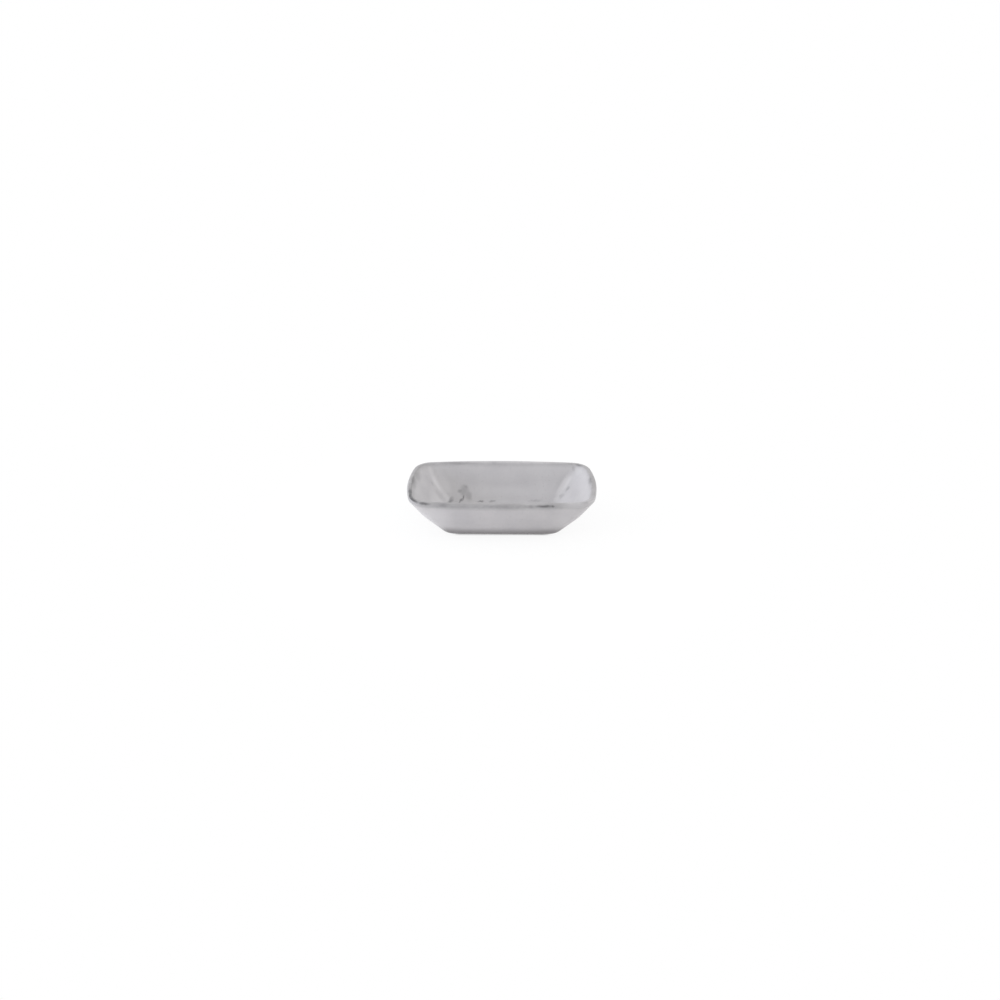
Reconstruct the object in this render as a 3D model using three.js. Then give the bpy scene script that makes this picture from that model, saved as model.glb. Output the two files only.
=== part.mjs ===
// A deep rectangular platter in glazed stoneware: bowed sides, flaring walls, a rounded lip and a low foot ring.
// Millimetres, +Z up. The origin is on the table under the middle of the dish, and +X runs along its length.
import * as THREE from 'three';

// Rim, measured over the outside of the lip. Its four sides are shallow arcs that bow outwards.
const RIM_LENGTH = 170;
const RIM_WIDTH = 96;
const RIM_CORNER_RADIUS = 18;
const RIM_END_ARC_RADIUS = 150;
const RIM_SIDE_ARC_RADIUS = 660;

// Base, measured where the outside walls would meet the underside if that edge were sharp
const BASE_LENGTH = 106;
const BASE_WIDTH = 62;
const BASE_CORNER_RADIUS = 9;
const BASE_END_ARC_RADIUS = 160;
const BASE_SIDE_ARC_RADIUS = 600;
const BASE_EDGE_RADIUS = 6;

// Heights and wall sections. Both widths are measured level, across the wall.
// The lip has a short upright face outside, and its edges are rounded.
const HEIGHT = 40;
const LIP_FACE_HEIGHT = 3.4;
const LIP_WIDTH = 4.4;
const LIP_RADIUS = 1.8;
const WALL_WIDTH_AT_FLOOR = 6.2;
const FLOOR_THICKNESS = 4.2;
const FLOOR_CORNER_RADIUS = 6;
const FLOOR_FILLET_RADIUS = 9;

// Belly: how far the walls stand out from straight ones, how far up they are fullest, and how roundly they turn there.
// The inside stands out less than the outside, and its corners are tighter.
const WALL_BELLY = 2.3;
const BELLY_SHARE = 0.54;
const BELLY_RADIUS = 62;
const INSIDE_BELLY = 1;
const INSIDE_CORNER_RADIUS = 7;

// Foot ring, set in from the base, with a shallow recess inside it
const FOOT_HEIGHT = 2.2;
const FOOT_INSET = 6;
const FOOT_RING_WIDTH = 4;
const FOOT_CORNER_RADIUS = 10;
const FOOT_TAPER = 0.5;
const FOOT_EDGE_RADIUS = 0.7;
const FOOT_ROOT_RADIUS = 0.9;
const RECESS_DEPTH = 1.8;
const RECESS_CORNER_RADIUS = 7;

// Glaze: how thick it lies, and how far the rim's band runs down each wall past the rounding of the lip
const GLAZE_THICKNESS = 0.4;
const RIM_BAND_RUN_OUTSIDE = 0.5;
const RIM_BAND_RUN_INSIDE = 1.2;

// Facets along each arc of an outline
const END_FACETS = 4;
const SIDE_FACETS = 6;
const CORNER_FACETS = 7;

// Limits for a size that leaves little room: the sharpest plan corner, and how much of a straight stretch
// the roundings at its two ends may take up together
const SHARPEST_CORNER = 1;
const ROUNDED_SHARE = 0.96;

const FLOOR_LEVEL = FOOT_HEIGHT + FLOOR_THICKNESS;
const LIP_UNDERSIDE = HEIGHT - LIP_FACE_HEIGHT;
const BELLY_LEVEL = THREE.MathUtils.lerp(FOOT_HEIGHT, LIP_UNDERSIDE, BELLY_SHARE);

// A rectangle whose four sides are shallow arcs, joined without a kink by four corner arcs
class BowedRectangle {
  constructor(length, width, corner, endArc, sideArc) {
    Object.assign(this, { length, width, corner, endArc, sideArc });
  }

  // The same outline moved inwards all round, or outwards by a negative distance
  inset(distance, corner = Math.max(this.corner - distance, SHARPEST_CORNER)) {
    const length = this.length - 2 * distance;
    const width = this.width - 2 * distance;
    return new BowedRectangle(length, width, corner, this.endArc - distance, this.sideArc - distance);
  }

  // The outline part of the way from this one to another
  toward(other, share) {
    const sizes = Object.keys(this).map((size) => THREE.MathUtils.lerp(this[size], other[size], share));
    return new BowedRectangle(...sizes);
  }

  // The centre of the corner arc, which touches the end arc and the side arc from inside
  cornerCentre() {
    const endCentre = new THREE.Vector2(this.length / 2 - this.endArc, 0);
    const sideCentre = new THREE.Vector2(0, this.width / 2 - this.sideArc);
    const fromEnd = this.endArc - this.corner;
    const fromSide = this.sideArc - this.corner;
    const between = sideCentre.clone().sub(endCentre);
    const apart = between.length();
    const along = (fromEnd ** 2 - fromSide ** 2 + apart ** 2) / (2 * apart);
    const across = Math.sqrt(fromEnd ** 2 - along ** 2);
    const direction = between.divideScalar(apart);
    const square = new THREE.Vector2(-direction.y, direction.x);
    return endCentre.addScaledVector(direction, along).addScaledVector(square, across);
  }

  // Points round the outline, counter-clockwise as seen from above
  points() {
    const endX = this.length / 2 - this.endArc;
    const sideY = this.width / 2 - this.sideArc;
    const { x, y } = this.cornerCentre();
    const endTurn = Math.atan2(y, x - endX);
    const sideTurn = Math.atan2(y - sideY, x);
    const arcs = [
      [endX, 0, this.endArc, -endTurn, endTurn, END_FACETS],
      [x, y, this.corner, endTurn, sideTurn, CORNER_FACETS],
      [0, sideY, this.sideArc, sideTurn, Math.PI - sideTurn, SIDE_FACETS],
      [-x, y, this.corner, Math.PI - sideTurn, Math.PI - endTurn, CORNER_FACETS],
      [-endX, 0, this.endArc, Math.PI - endTurn, Math.PI + endTurn, END_FACETS],
      [-x, -y, this.corner, Math.PI + endTurn, Math.PI + sideTurn, CORNER_FACETS],
      [0, -sideY, this.sideArc, Math.PI + sideTurn, 2 * Math.PI - sideTurn, SIDE_FACETS],
      [x, -y, this.corner, 2 * Math.PI - sideTurn, 2 * Math.PI - endTurn, CORNER_FACETS],
    ];
    return arcs.flatMap(([centreX, centreY, radius, from, to, facets]) => {
      const arc = new THREE.EllipseCurve(centreX, centreY, radius, radius, from, to);
      return arc.getPoints(facets).slice(0, facets);
    });
  }
}

// Plan outlines of the dish, from the rim down to the foot
const rim = new BowedRectangle(
  RIM_LENGTH, RIM_WIDTH, RIM_CORNER_RADIUS, RIM_END_ARC_RADIUS, RIM_SIDE_ARC_RADIUS);
const base = new BowedRectangle(
  BASE_LENGTH, BASE_WIDTH, BASE_CORNER_RADIUS, BASE_END_ARC_RADIUS, BASE_SIDE_ARC_RADIUS);
const foot = base.inset(FOOT_INSET, FOOT_CORNER_RADIUS);
const recess = foot.inset(FOOT_RING_WIDTH, RECESS_CORNER_RADIUS);

// The outside wall where it is fullest and at the level of the floor, and the inside wall at both levels
const straightWall = base.toward(rim, BELLY_SHARE);
const belly = straightWall.inset(-WALL_BELLY);
const wallAtFloor = base.toward(belly, FLOOR_THICKNESS / (BELLY_LEVEL - FOOT_HEIGHT));
const bellyRise = (BELLY_LEVEL - FLOOR_LEVEL) / (HEIGHT - FLOOR_LEVEL);
const bellyWidth = THREE.MathUtils.lerp(WALL_WIDTH_AT_FLOOR, LIP_WIDTH, bellyRise);
const bellyInside = straightWall.inset(bellyWidth - INSIDE_BELLY, INSIDE_CORNER_RADIUS);
const floor = wallAtFloor.inset(WALL_WIDTH_AT_FLOOR, FLOOR_CORNER_RADIUS);

// The finished surface as one section, from the middle of the underside round the lip to the middle of the floor.
// Each turn is an edge that runs right round the dish, rounded in a number of steps. A run is a straight length
// kept before or after the rounding, where one glaze gives way to the next.
const turns = [
  { edge: 'recess', outline: recess.inset(FOOT_TAPER), z: RECESS_DEPTH, radius: FOOT_ROOT_RADIUS, steps: 2 },
  { edge: 'footInside', outline: recess, z: 0, radius: FOOT_EDGE_RADIUS, steps: 2 },
  { edge: 'footOutside', outline: foot, z: 0, radius: FOOT_EDGE_RADIUS, steps: 2 },
  { edge: 'footRoot', outline: foot.inset(-FOOT_TAPER), z: FOOT_HEIGHT, radius: FOOT_ROOT_RADIUS, steps: 2 },
  { edge: 'base', outline: base, z: FOOT_HEIGHT, radius: BASE_EDGE_RADIUS, steps: 4 },
  { edge: 'bellyOutside', outline: belly, z: BELLY_LEVEL, radius: BELLY_RADIUS, steps: 4 },
  { edge: 'lipUnder', outline: rim, z: LIP_UNDERSIDE, radius: LIP_RADIUS, steps: 3,
    runBefore: RIM_BAND_RUN_OUTSIDE },
  { edge: 'lipOutside', outline: rim, z: HEIGHT, radius: LIP_RADIUS, steps: 4 },
  { edge: 'lipInside', outline: rim.inset(LIP_WIDTH), z: HEIGHT, radius: LIP_RADIUS, steps: 3,
    runAfter: RIM_BAND_RUN_INSIDE },
  { edge: 'bellyInside', outline: bellyInside, z: BELLY_LEVEL, radius: BELLY_RADIUS, steps: 4 },
  { edge: 'floor', outline: floor, z: FLOOR_LEVEL, radius: FLOOR_FILLET_RADIUS, steps: 5 },
];
const undersideCentre = new THREE.Vector3(0, 0, RECESS_DEPTH);
const floorCentre = new THREE.Vector3(0, 0, FLOOR_LEVEL);

// The two straight stretches that meet at a corner of a section, and the angle between them
function cornerAt(corners, index) {
  const here = corners[index];
  const back = corners[index - 1].clone().sub(here);
  const ahead = corners[index + 1].clone().sub(here);
  const backLength = back.length();
  const aheadLength = ahead.length();
  back.normalize();
  ahead.normalize();
  return { here, back, ahead, backLength, aheadLength, angle: back.angleTo(ahead) };
}

// One section with its corners rounded, as stations along it: a point and the direction of travel there.
// Where two neighbouring roundings need more than their stretch has, both are made smaller.
function roundSection(corners) {
  const bends = turns.map((turn, i) => {
    const bend = cornerAt(corners, i + 1);
    const setBack = turn.radius / Math.tan(bend.angle / 2);
    const takenBack = setBack + (turn.runBefore ?? 0);
    const takenAhead = setBack + (turn.runAfter ?? 0);
    return { ...bend, setBack, takenBack, takenAhead };
  });
  return turns.flatMap((turn, i) => {
    const bend = bends[i];
    const needBack = bend.takenBack + (bends[i - 1]?.takenAhead ?? 0);
    const needAhead = bend.takenAhead + (bends[i + 1]?.takenBack ?? 0);
    const roomBack = (bend.backLength * ROUNDED_SHARE) / needBack;
    const roomAhead = (bend.aheadLength * ROUNDED_SHARE) / needAhead;
    return roundCorner(turn, bend, Math.min(1, roomBack, roomAhead));
  });
}

// The stations of one rounded corner: a circular arc that touches both stretches, and its straight runs
function roundCorner(turn, bend, share) {
  const { here, back, ahead, angle } = bend;
  const radius = turn.radius * share;
  const setBack = bend.setBack * share;
  const middle = back.clone().add(ahead).normalize();
  const centre = here.clone().addScaledVector(middle, radius / Math.sin(angle / 2));
  const arm = here.clone().addScaledVector(back, setBack).sub(centre);
  const axis = back.clone().cross(ahead).normalize().negate();
  const forward = back.clone().negate();
  const stations = [];
  if (turn.runBefore) {
    const point = here.clone().addScaledVector(back, setBack + turn.runBefore * share);
    stations.push({ point, direction: forward });
  }
  for (let step = 0; step <= turn.steps; step += 1) {
    const turned = ((Math.PI - angle) * step) / turn.steps;
    const point = arm.clone().applyAxisAngle(axis, turned).add(centre);
    stations.push({ point, direction: forward.clone().applyAxisAngle(axis, turned) });
  }
  if (turn.runAfter) {
    const point = here.clone().addScaledVector(ahead, setBack + turn.runAfter * share);
    stations.push({ point, direction: ahead.clone() });
  }
  return stations;
}

// Where each edge's stations begin and end, counted along the section
const stationsOf = {};
let stationCount = 0;
for (const turn of turns) {
  const first = stationCount;
  stationCount += turn.steps + 1 + (turn.runBefore ? 1 : 0) + (turn.runAfter ? 1 : 0);
  stationsOf[turn.edge] = { first, last: stationCount - 1 };
}

// The finished surface as rings, one for each station, and the same rings sunk by the glaze's thickness
const outlines = turns.map((turn) => turn.outline.points());
const sections = outlines[0].map((_, around) => {
  const corners = turns.map((turn, i) => new THREE.Vector3(outlines[i][around].x, outlines[i][around].y, turn.z));
  return roundSection([undersideCentre, ...corners, floorCentre]);
});
const pointsAround = sections.length;
const glazedRings = [];
const clayRings = [];
for (let station = 0; station < stationCount; station += 1) {
  const glazed = sections.map((section) => section[station].point);
  const clay = glazed.map((point, around) => {
    const next = glazed[(around + 1) % pointsAround];
    const previous = glazed[(around + pointsAround - 1) % pointsAround];
    const outward = next.clone().sub(previous).cross(sections[around][station].direction).normalize();
    return point.clone().addScaledVector(outward, -GLAZE_THICKNESS);
  });
  glazedRings.push(glazed);
  clayRings.push(clay);
}
const glazeLift = new THREE.Vector3(0, 0, GLAZE_THICKNESS);
const undersideClayCentre = undersideCentre.clone().add(glazeLift);
const floorClayCentre = floorCentre.clone().sub(glazeLift);

// Collects rings of points and joins them by bands of triangles into one closed skin
class Skin {
  positions = [];
  indices = [];

  point(vector) {
    this.positions.push(vector.x, vector.y, vector.z);
    return this.positions.length / 3 - 1;
  }

  ring(points) {
    return points.map((vector) => this.point(vector));
  }

  triangle(a, b, c, inward) {
    this.indices.push(...(inward ? [a, c, b] : [a, b, c]));
  }

  // Bands between each ring and the next, facing out of the section, or into it for the back of a coat
  bands(rings, inward = false) {
    for (let i = 0; i + 1 < rings.length; i += 1) {
      for (let here = 0; here < pointsAround; here += 1) {
        const next = (here + 1) % pointsAround;
        this.triangle(rings[i][here], rings[i][next], rings[i + 1][next], inward);
        this.triangle(rings[i][here], rings[i + 1][next], rings[i + 1][here], inward);
      }
    }
  }

  // The narrow edge of a coat, from its back to its face. Both pieces that meet there split it the same way.
  edge(back, face, ahead) {
    this.bands([back, face], ahead);
  }

  // Closes the middle of the underside, where the section starts
  startCap(centre, ring, inward = false) {
    const middle = this.point(centre);
    ring.forEach((here, i) => this.triangle(middle, ring[(i + 1) % pointsAround], here, inward));
  }

  // Closes the middle of the floor, where the section ends
  endCap(ring, centre, inward = false) {
    const middle = this.point(centre);
    ring.forEach((here, i) => this.triangle(here, ring[(i + 1) % pointsAround], middle, inward));
  }

  mesh(name, look) {
    const geometry = new THREE.BufferGeometry();
    geometry.setAttribute('position', new THREE.Float32BufferAttribute(this.positions, 3));
    geometry.setIndex(this.indices);
    geometry.computeVertexNormals();
    const mesh = new THREE.Mesh(geometry, new THREE.MeshStandardMaterial({ metalness: 0, ...look }));
    mesh.name = name;
    return mesh;
  }
}

// The glaze starts and stops on the two faces of the foot ring, and the rim's band lies between its two runs
const undersideEnd = stationsOf.footInside.first;
const outsideStart = stationsOf.footOutside.last;
const bandStart = stationsOf.lipUnder.first;
const bandEnd = stationsOf.lipInside.last;
const floorEnd = stationsOf.floor.last;

// The clay body: under the glaze everywhere, and out to the finished surface on the bare face of the foot ring
function stonewareBody() {
  const skin = new Skin();
  const under = clayRings.slice(0, undersideEnd + 1).map((points) => skin.ring(points));
  const bare = glazedRings.slice(undersideEnd, outsideStart + 1).map((points) => skin.ring(points));
  const over = clayRings.slice(outsideStart).map((points) => skin.ring(points));
  skin.startCap(undersideClayCentre, under[0]);
  skin.bands(under);
  skin.edge(under[under.length - 1], bare[0], false);
  skin.bands(bare);
  skin.edge(over[0], bare[bare.length - 1], true);
  skin.bands(over);
  skin.endCap(over[over.length - 1], floorClayCentre);
  return skin.mesh('stoneware_body', { color: 0x85807c, roughness: 0.85 });
}

// A coat of glaze between two stations: its face, its back on the clay, and the edges that join them.
// A coat that reaches the middle of the underside or of the floor is closed there instead of at an edge.
function glazeCoat(name, first, last, look) {
  const skin = new Skin();
  const face = glazedRings.slice(first, last + 1).map((points) => skin.ring(points));
  const back = clayRings.slice(first, last + 1).map((points) => skin.ring(points));
  const faceEnd = face[face.length - 1];
  const backEnd = back[back.length - 1];
  skin.bands(face);
  skin.bands(back, true);
  if (first === 0) {
    skin.startCap(undersideCentre, face[0]);
    skin.startCap(undersideClayCentre, back[0], true);
  } else {
    skin.edge(back[0], face[0], false);
  }
  if (last === floorEnd) {
    skin.endCap(faceEnd, floorCentre);
    skin.endCap(backEnd, floorClayCentre, true);
  } else {
    skin.edge(backEnd, faceEnd, true);
  }
  return skin.mesh(name, look);
}

const platter = new THREE.Group();
platter.name = 'rectangular_platter';
platter.add(
  stonewareBody(),
  glazeCoat('inside_glaze', bandEnd, floorEnd, { color: 0xb7b5b6, roughness: 0.36 }),
  glazeCoat('rim_glaze', bandStart, bandEnd, { color: 0x969495, roughness: 0.34 }),
  glazeCoat('outside_glaze', outsideStart, bandStart, { color: 0xb7b5b6, roughness: 0.34 }),
  glazeCoat('underside_glaze', 0, undersideEnd, { color: 0xb7b5b6, roughness: 0.34 }),
);

export default platter;
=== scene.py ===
"""Deep rectangular platter in glazed stoneware: its finished surfaces, its studio and its camera.

Metres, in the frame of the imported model: the origin is on the table under the middle of the dish,
+X runs along its length and +Z up.
"""
from dataclasses import dataclass
from math import atan2, cos, hypot, pi, radians, sin, sqrt

import bpy
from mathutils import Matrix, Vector


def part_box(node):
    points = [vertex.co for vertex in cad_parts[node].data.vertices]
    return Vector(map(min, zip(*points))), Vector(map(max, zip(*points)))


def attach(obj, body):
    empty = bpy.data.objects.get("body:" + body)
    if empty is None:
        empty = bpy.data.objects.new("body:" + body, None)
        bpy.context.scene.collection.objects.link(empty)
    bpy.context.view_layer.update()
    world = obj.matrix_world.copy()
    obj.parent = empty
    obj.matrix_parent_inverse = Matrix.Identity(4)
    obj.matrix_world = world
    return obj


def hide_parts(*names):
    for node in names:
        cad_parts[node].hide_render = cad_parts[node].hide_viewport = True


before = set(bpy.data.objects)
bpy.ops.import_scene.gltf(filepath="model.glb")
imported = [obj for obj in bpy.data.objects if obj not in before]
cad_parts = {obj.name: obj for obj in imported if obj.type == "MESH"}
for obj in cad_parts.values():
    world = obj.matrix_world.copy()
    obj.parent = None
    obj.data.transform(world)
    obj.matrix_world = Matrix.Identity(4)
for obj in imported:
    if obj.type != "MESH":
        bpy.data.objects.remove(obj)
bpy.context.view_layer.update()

MM = 0.001

# Overall sizes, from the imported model
rim_low, rim_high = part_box("rim_glaze")
RIM_LENGTH = rim_high.x - rim_low.x
RIM_WIDTH = rim_high.y - rim_low.y
HEIGHT = rim_high.z

# Rim and base, as bowed rectangles
RIM_CORNER_RADIUS = 18 * MM
RIM_END_ARC_RADIUS = 150 * MM
RIM_SIDE_ARC_RADIUS = 660 * MM
BASE_LENGTH = 106 * MM
BASE_WIDTH = 62 * MM
BASE_CORNER_RADIUS = 9 * MM
BASE_END_ARC_RADIUS = 160 * MM
BASE_SIDE_ARC_RADIUS = 600 * MM
BASE_EDGE_RADIUS = 6 * MM

# Lip, walls and floor
LIP_FACE_HEIGHT = 3.4 * MM
LIP_WIDTH = 4.4 * MM
LIP_RADIUS = 1.8 * MM
WALL_WIDTH_AT_FLOOR = 6.2 * MM
FLOOR_THICKNESS = 4.2 * MM
FLOOR_CORNER_RADIUS = 6 * MM
FLOOR_FILLET_RADIUS = 9 * MM
WALL_BELLY = 2.3 * MM
BELLY_SHARE = 0.54
BELLY_RADIUS = 62 * MM
INSIDE_BELLY = 1 * MM
INSIDE_CORNER_RADIUS = 7 * MM

# Foot ring and the recess inside it
FOOT_HEIGHT = 2.2 * MM
FOOT_INSET = 6 * MM
FOOT_RING_WIDTH = 4 * MM
FOOT_CORNER_RADIUS = 10 * MM
FOOT_TAPER = 0.5 * MM
FOOT_EDGE_RADIUS = 0.7 * MM
FOOT_ROOT_RADIUS = 0.9 * MM
RECESS_DEPTH = 1.8 * MM
RECESS_CORNER_RADIUS = 7 * MM

# Glaze: its thickness, and the soft waves that it dries and fires with
GLAZE_THICKNESS = 0.4 * MM
WAVE_LENGTH = 24 * MM
WAVE_HEIGHT = 0.22 * MM
WAVE_DETAIL = 1.0

# Colours of the glaze where it is thick inside or outside, thin, pooled or smoked, of the painted light and
# painted shade on it, and of the clay below it, and how glossy they are
PALE_TONES = ("#bbb9ba", "#b1afb1")
OUTSIDE_TONES = ("#b4b1b2", "#aba8aa")
THIN_TONES = ("#a2a0a1", "#908e8f")
POOL_AND_PAINTED_LIGHT_TONE = "#d2d0d1"
SMOKE_AND_SHADE_TONE = "#757476"
LIP_LINE_TONE = "#4f4e50"
PAINTED_BASE_SHADE_TONE = "#736f70"
CLAY_TONES = ("#8d8883", "#7d7874")
SAND_TONE = "#55514e"
SPECK_TONE = "#6f6b68"
GLAZE_IOR = 1.5
INSIDE_ROUGHNESS = 0.4
OUTSIDE_ROUGHNESS = 0.34
ROUGHNESS_SPREAD = 0.05
CLAY_ROUGHNESS = 0.85

# Patterns: the clouds and grain of the glaze and the clay, the smoke and a painted shade, and the marks and
# patches on the lip
NOISE_MIDDLE = 0.5
FINE_DETAIL = 2.0
CLOUD_SIZE = 26 * MM
CLOUD_DETAIL = 4.0
CLOUD_ROUGHNESS = 0.6
CLOUD_LOW = 0.32
CLOUD_HIGH = 0.68
GRAIN_SIZE = 2.2 * MM
GRAIN_SHARE = 0.5
RAGGED_DETAIL = 6.0
SMOKE_GRAIN = 4 * MM
SMOKE_RAGGED = 2.4 * MM
LIP_MARK_GRAIN = 7 * MM
LIP_MARK_RAGGED = 2 * MM
MARK_CORE = 0.2
PATCH_SIZE = 11 * MM
PATCH_LOW = 0.5
PATCH_HIGH = 0.75
PATCH_SHARE = 0.35

# Specks, orange peel and sand. Real ones are too fine to show, so they are drawn as coarse as they need
# to show. The edge and the core of a grain of sand are shares of the spacing
SPECK_SPACING = 2.6 * MM
SPECK_RADIUS = 0.5 * MM
SPECK_SHARE = 0.6
PEEL_SIZE = 5 * MM
PEEL_DEPTH = 0.15 * MM
PEEL_STRENGTH = 0.25
SAND_SPACING = 1.1 * MM
SAND_EDGE = 0.22
SAND_CORE = 0.1
SAND_SHARE = 0.6
SAND_RELIEF = 0.1 * MM
SAND_STRENGTH = 0.4

# Where the glaze thickens below the lip, where painted shade darkens the outside towards the edge of the
# base, and how ragged that is
LIP_FADE_START = 2.2 * MM
LIP_FADE_END = 6.5 * MM
BASE_SHADE_START = 14 * MM
BASE_SHADE_END = 3.5 * MM
BASE_SHADE_SHARE = 0.9
FADE_GRAIN = 5 * MM
FADE_RAGGED = 0.6 * MM

# Mesh: points round the dish, the shares of a quarter's points given to its end and its corner,
# how near points are merged, and from what angle an edge is sharp
POINTS_AROUND = 416
END_SHARE = 0.27
CORNER_SHARE = 0.2
MERGE_DISTANCE = 0.002 * MM
SHARP_ANGLE = radians(50)

# The camera of the photograph: where it looks, its distance and elevation, and its turn about the dish
CAMERA_AIM = Vector((-1.65, 0.0, 21.75)) * MM
CAMERA_DISTANCE = 0.9
CAMERA_ELEVATION = radians(26)
CAMERA_TURN = radians(0.6)
CAMERA_LENS_MM = 35.62

# Studio: a tent of even light, a soft box on either side that the glaze mirrors only in part,
# and a floor that fades to white
WHITE = "#ffffff"
TENT_LEVEL = 0.88
LEFT_BOX_PLACE = (-1.0, -0.15, 0.31)
LEFT_BOX_SIZE = (1.3, 0.5)
LEFT_BOX_WATTS = 12.0
LEFT_BOX_COLOUR = "#f2f6ff"
RIGHT_BOX_PLACE = (1.0, -0.04, 0.5)
RIGHT_BOX_SIZE = (0.6, 0.6)
RIGHT_BOX_WATTS = 4.6
RIGHT_BOX_COLOUR = WHITE
MIRRORED_SHARE = 0.28
FLOOR_SIZE = 6.0
FLOOR_COLOUR = "#f4f4f4"
FLOOR_GLOW = 0.9
SHADOW_REACH = 0.12
CONTACT_SHADOW_START = -0.5 * MM
CONTACT_SHADOW_END = 2.5 * MM


def add_node(tree, kind, inputs=None, **settings):
    """Adds a node with its settings and inputs.

    An input is a value, a socket, or a node, whose first live output is then linked.
    """
    node = tree.nodes.new(kind)
    for name, value in settings.items():
        setattr(node, name, value)
    live = [socket for socket in node.inputs if socket.enabled]
    for key, value in (inputs or {}).items():
        socket = live[key] if isinstance(key, int) else next(one for one in live if one.name == key)
        if isinstance(value, bpy.types.Node):
            value = next(one for one in value.outputs if one.enabled)
        if isinstance(value, bpy.types.NodeSocket):
            tree.links.new(value, socket)
        else:
            socket.default_value = value
    return node


def linear(hex_colour):
    """An sRGB hex colour as the linear RGBA that a shader socket takes."""
    channels = [int(hex_colour[i:i + 2], 16) / 255 for i in (1, 3, 5)]
    return *[c / 12.92 if c <= 0.04045 else ((c + 0.055) / 1.055) ** 2.4 for c in channels], 1.0


# Form of the dish

@dataclass
class Bowed:
    """A rectangle whose four sides are shallow arcs, joined without a kink by four corner arcs."""

    length: float
    width: float
    corner: float
    end_arc: float
    side_arc: float

    def inset(self, distance, corner=None):
        """The same outline moved inwards all round, or outwards by a negative distance."""
        corner = self.corner - distance if corner is None else corner
        length = self.length - 2 * distance
        width = self.width - 2 * distance
        return Bowed(length, width, corner, self.end_arc - distance, self.side_arc - distance)

    def toward(self, other, share):
        """The outline part of the way from this one to another."""
        pairs = zip(vars(self).values(), vars(other).values())
        return Bowed(*(mine + (its - mine) * share for mine, its in pairs))

    def arcs(self):
        """The centres and radii of the first quarter's three arcs, named as the outline group's inputs."""
        end_x = self.length / 2 - self.end_arc
        side_y = self.width / 2 - self.side_arc
        from_end = self.end_arc - self.corner
        from_side = self.side_arc - self.corner
        apart = hypot(end_x, side_y)
        along = (from_end ** 2 - from_side ** 2 + apart ** 2) / (2 * apart)
        across = sqrt(from_end ** 2 - along ** 2)
        corner_x = end_x - (along * end_x + across * side_y) / apart
        corner_y = (along * side_y - across * end_x) / apart
        return {
            "End Centre": (end_x, 0, 0), "End Radius": self.end_arc,
            "Corner Centre": (corner_x, corner_y, 0), "Corner Radius": self.corner,
            "Side Centre": (0, side_y, 0), "Side Radius": self.side_arc,
            "End Turn": atan2(corner_y, corner_x - end_x), "Side Turn": atan2(corner_y - side_y, corner_x),
        }


@dataclass
class Edge:
    """An edge that runs right round the dish, rounded in steps, with straight steps on to the next edge."""

    outline: Bowed
    level: float
    radius: float
    arc_steps: int
    run_steps: int
    first: int = 0


rim = Bowed(RIM_LENGTH, RIM_WIDTH, RIM_CORNER_RADIUS, RIM_END_ARC_RADIUS, RIM_SIDE_ARC_RADIUS)
base = Bowed(BASE_LENGTH, BASE_WIDTH, BASE_CORNER_RADIUS, BASE_END_ARC_RADIUS, BASE_SIDE_ARC_RADIUS)
foot = base.inset(FOOT_INSET, FOOT_CORNER_RADIUS)
recess = foot.inset(FOOT_RING_WIDTH, RECESS_CORNER_RADIUS)
LIP_UNDERSIDE = HEIGHT - LIP_FACE_HEIGHT
FLOOR_LEVEL = FOOT_HEIGHT + FLOOR_THICKNESS
BELLY_LEVEL = FOOT_HEIGHT + (LIP_UNDERSIDE - FOOT_HEIGHT) * BELLY_SHARE
straight_wall = base.toward(rim, BELLY_SHARE)
belly = straight_wall.inset(-WALL_BELLY)
wall_at_floor = base.toward(belly, FLOOR_THICKNESS / (BELLY_LEVEL - FOOT_HEIGHT))
belly_rise = (BELLY_LEVEL - FLOOR_LEVEL) / (HEIGHT - FLOOR_LEVEL)
belly_width = WALL_WIDTH_AT_FLOOR + (LIP_WIDTH - WALL_WIDTH_AT_FLOOR) * belly_rise
belly_inside = straight_wall.inset(belly_width - INSIDE_BELLY, INSIDE_CORNER_RADIUS)
floor_outline = wall_at_floor.inset(WALL_WIDTH_AT_FLOOR, FLOOR_CORNER_RADIUS)

# The finished surface as one section, from the underside's middle round the lip to the floor's middle
UNDERSIDE_STEPS = 20
EDGES = {
    "recess": Edge(recess.inset(FOOT_TAPER), RECESS_DEPTH, FOOT_ROOT_RADIUS, 4, 2),
    "foot_inside": Edge(recess, 0.0, FOOT_EDGE_RADIUS, 4, 4),
    "foot_outside": Edge(foot, 0.0, FOOT_EDGE_RADIUS, 4, 2),
    "foot_root": Edge(foot.inset(-FOOT_TAPER), FOOT_HEIGHT, FOOT_ROOT_RADIUS, 4, 4),
    "base": Edge(base, FOOT_HEIGHT, BASE_EDGE_RADIUS, 10, 10),
    "belly_outside": Edge(belly, BELLY_LEVEL, BELLY_RADIUS, 20, 12),
    "lip_under": Edge(rim, LIP_UNDERSIDE, LIP_RADIUS, 5, 2),
    "lip_outside": Edge(rim, HEIGHT, LIP_RADIUS, 8, 2),
    "lip_inside": Edge(rim.inset(LIP_WIDTH), HEIGHT, LIP_RADIUS, 5, 12),
    "belly_inside": Edge(belly_inside, BELLY_LEVEL, BELLY_RADIUS, 20, 8),
    "floor": Edge(floor_outline, FLOOR_LEVEL, FLOOR_FILLET_RADIUS, 14, 24),
}
# Points along the section are numbered as stations, and the rounding of an edge starts at its first one
station_count = UNDERSIDE_STEPS
for edge in EDGES.values():
    edge.first = station_count
    station_count += edge.arc_steps + edge.run_steps
LAST_STATION = station_count
# Merged points take the average of their stations, so a range of stations is taken with this much room
STATION_ROOM = 0.5

# Where one coat gives way to the next
UNDERSIDE_END = EDGES["foot_inside"].first
OUTSIDE_START = EDGES["foot_outside"].first + EDGES["foot_outside"].arc_steps
BAND_START = EDGES["lip_under"].first - 1
BAND_END = EDGES["lip_inside"].first + EDGES["lip_inside"].arc_steps + 1

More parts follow.
